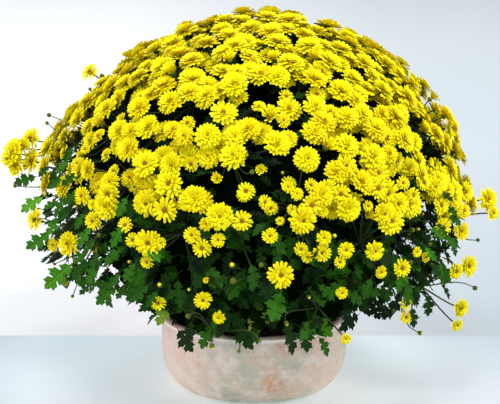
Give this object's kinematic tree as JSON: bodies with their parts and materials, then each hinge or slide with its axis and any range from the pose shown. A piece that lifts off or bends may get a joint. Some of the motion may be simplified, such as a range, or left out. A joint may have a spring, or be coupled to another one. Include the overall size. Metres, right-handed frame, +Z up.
{
  "type": "potted chrysanthemum",
  "caption": "Round bush of yellow chrysanthemum flowers over dark lobed leaves, growing in a low whitewashed terracotta bowl.",
  "frame": {"origin": "under the middle of the bowl's foot, on the surface that it stands on", "axes": "+Z up; the side in the picture faces -Y; +X to its right"},
  "size_m": [0.5744, 0.5235, 0.4523],
  "materials": {
    "terracotta": "unglazed terracotta with a thin, worn, chalky whitewash, matt",
    "soil": "dark, crumbly potting soil, matt",
    "leaf": "dark green leaf with a soft gloss and paler veins",
    "petal": "bright yellow petal, satin, golden towards the middle"
  },
  "bodies": {
    "root": {"bowl": "terracotta", "soil": "soil", "leafy_stem_1": "leaf", "leafy_stem_2": "leaf", "leafy_stem_3": "leaf", "leafy_stem_4": "leaf", "leafy_stem_5": "leaf", "leafy_stem_6": "leaf", "leafy_stem_7": "leaf", "leafy_stem_8": "leaf", "spray_01": "petal", "spray_02": "petal", "spray_03": "petal", "spray_04": "petal", "spray_05": "petal", "spray_06": "petal", "spray_07": "petal", "spray_08": "petal", "spray_09": "petal", "spray_10": "petal", "spray_11": "petal", "spray_12": "petal", "spray_13": "petal", "spray_14": "petal", "spray_15": "petal", "spray_16": "petal", "spray_17": "petal", "spray_18": "petal", "spray_19": "petal", "spray_20": "petal", "spray_21": "petal", "spray_22": "petal", "spray_23": "petal", "spray_24": "petal", "spray_25": "petal", "spray_26": "petal", "spray_27": "petal", "spray_28": "petal", "spray_29": "petal", "spray_30": "petal", "spray_31": "petal", "spray_32": "petal", "spray_33": "petal", "spray_34": "petal", "spray_35": "petal", "spray_36": "petal", "spray_37": "petal", "spray_38": "petal", "spray_39": "petal", "spray_40": "petal", "spray_41": "petal", "spray_42": "petal", "spray_43": "petal", "spray_44": "petal", "spray_45": "petal", "spray_46": "petal", "spray_47": "petal", "spray_48": "petal", "spray_49": "petal"}
  },
  "joints": []
}
